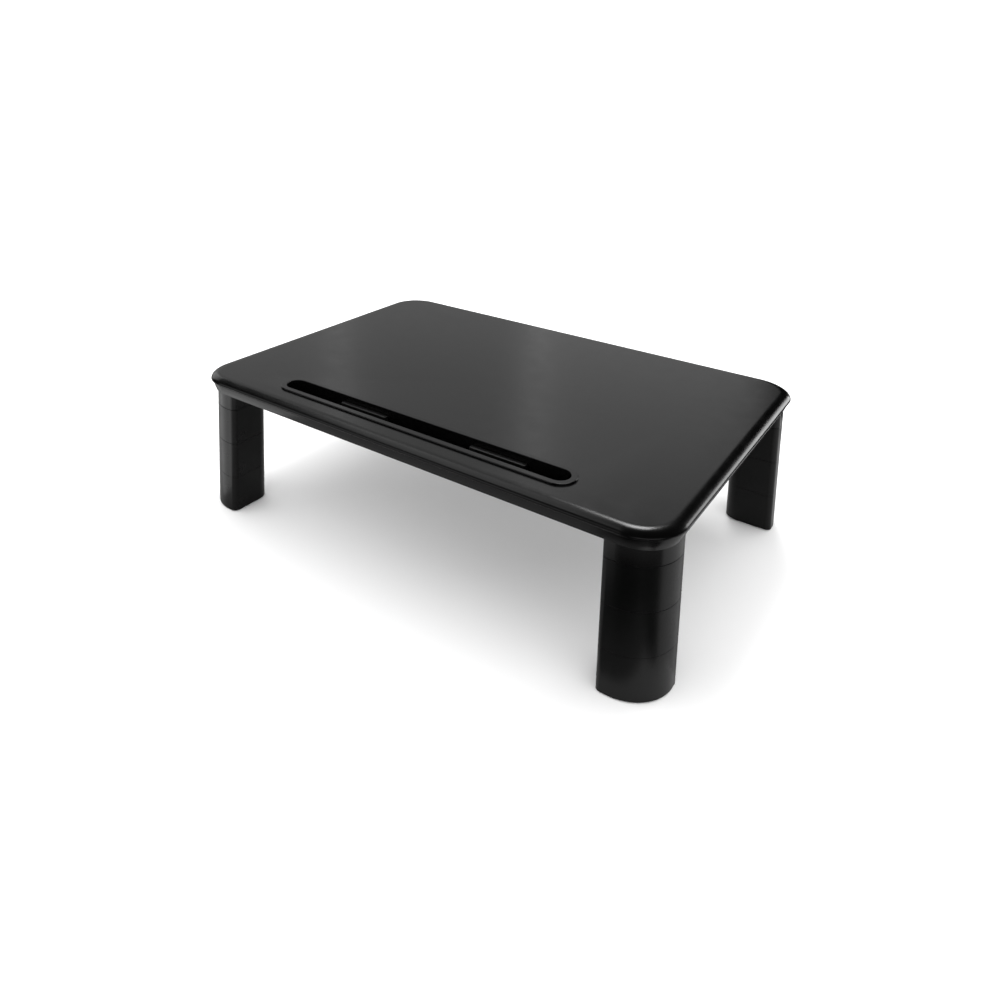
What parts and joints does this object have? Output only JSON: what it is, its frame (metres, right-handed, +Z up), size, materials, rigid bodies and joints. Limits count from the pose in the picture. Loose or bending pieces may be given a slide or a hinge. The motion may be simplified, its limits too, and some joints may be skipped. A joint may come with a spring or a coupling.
{
  "type": "monitor riser",
  "caption": "Monitor riser with a rounded tabletop, a raised-rim device slot near the front edge, and corner legs built from stacked plug-in segments.",
  "frame": {"origin": "on the desk surface, under the middle of the tabletop", "axes": "+X to the user's right along the long edge, +Y to the back, away from the slot, +Z up"},
  "size_m": [0.42, 0.3, 0.1173],
  "materials": {
    "table_plastic": "fine moulded grain, satin",
    "insert_plastic": "smooth satin",
    "leg_plastic": "fine moulded grain, satin",
    "pad_rubber": "matt",
    "foot_rubber": "matt"
  },
  "bodies": {
    "base": {"leg_lower_front_left": "leg_plastic", "leg_lower_front_right": "leg_plastic", "leg_lower_back_left": "leg_plastic", "leg_lower_back_right": "leg_plastic", "foot_pad_front_left": "foot_rubber", "foot_pad_front_right": "foot_rubber", "foot_pad_back_left": "foot_rubber", "foot_pad_back_right": "foot_rubber"},
    "middle_front_left": {"leg_middle_front_left": "leg_plastic"},
    "middle_front_right": {"leg_middle_front_right": "leg_plastic"},
    "middle_back_left": {"leg_middle_back_left": "leg_plastic"},
    "middle_back_right": {"leg_middle_back_right": "leg_plastic"},
    "upper_front_left": {"leg_upper_front_left": "leg_plastic"},
    "upper_front_right": {"leg_upper_front_right": "leg_plastic"},
    "upper_back_left": {"leg_upper_back_left": "leg_plastic"},
    "upper_back_right": {"leg_upper_back_right": "leg_plastic"},
    "table": {"tabletop": "table_plastic", "slot_insert": "insert_plastic", "slot_pad_left": "pad_rubber", "slot_pad_right": "pad_rubber"}
  },
  "joints": [
    {"name": "lift_middle_front_left", "type": "slide", "parent": "base", "child": "middle_front_left", "axis": [0, 0, 1], "range_m": [0, 0.012]},
    {"name": "lift_middle_front_right", "type": "slide", "parent": "base", "child": "middle_front_right", "axis": [0, 0, 1], "range_m": [0, 0.012]},
    {"name": "lift_middle_back_left", "type": "slide", "parent": "base", "child": "middle_back_left", "axis": [0, 0, 1], "range_m": [0, 0.012]},
    {"name": "lift_middle_back_right", "type": "slide", "parent": "base", "child": "middle_back_right", "axis": [0, 0, 1], "range_m": [0, 0.012]},
    {"name": "lift_upper_front_left", "type": "slide", "parent": "middle_front_left", "child": "upper_front_left", "axis": [0, 0, 1], "range_m": [0, 0.012]},
    {"name": "lift_upper_front_right", "type": "slide", "parent": "middle_front_right", "child": "upper_front_right", "axis": [0, 0, 1], "range_m": [0, 0.012]},
    {"name": "lift_upper_back_left", "type": "slide", "parent": "middle_back_left", "child": "upper_back_left", "axis": [0, 0, 1], "range_m": [0, 0.012]},
    {"name": "lift_upper_back_right", "type": "slide", "parent": "middle_back_right", "child": "upper_back_right", "axis": [0, 0, 1], "range_m": [0, 0.012]},
    {"name": "lift_table", "type": "slide", "parent": "upper_front_left", "child": "table", "axis": [0, 0, 1], "range_m": [0, 0.012]}
  ],
  "couplings": [
    {"joint": "lift_middle_front_right", "follows": "lift_middle_front_left", "ratio": 1},
    {"joint": "lift_middle_back_left", "follows": "lift_middle_front_left", "ratio": 1},
    {"joint": "lift_middle_back_right", "follows": "lift_middle_front_left", "ratio": 1},
    {"joint": "lift_upper_front_right", "follows": "lift_upper_front_left", "ratio": 1},
    {"joint": "lift_upper_back_left", "follows": "lift_upper_front_left", "ratio": 1},
    {"joint": "lift_upper_back_right", "follows": "lift_upper_front_left", "ratio": 1}
  ]
}
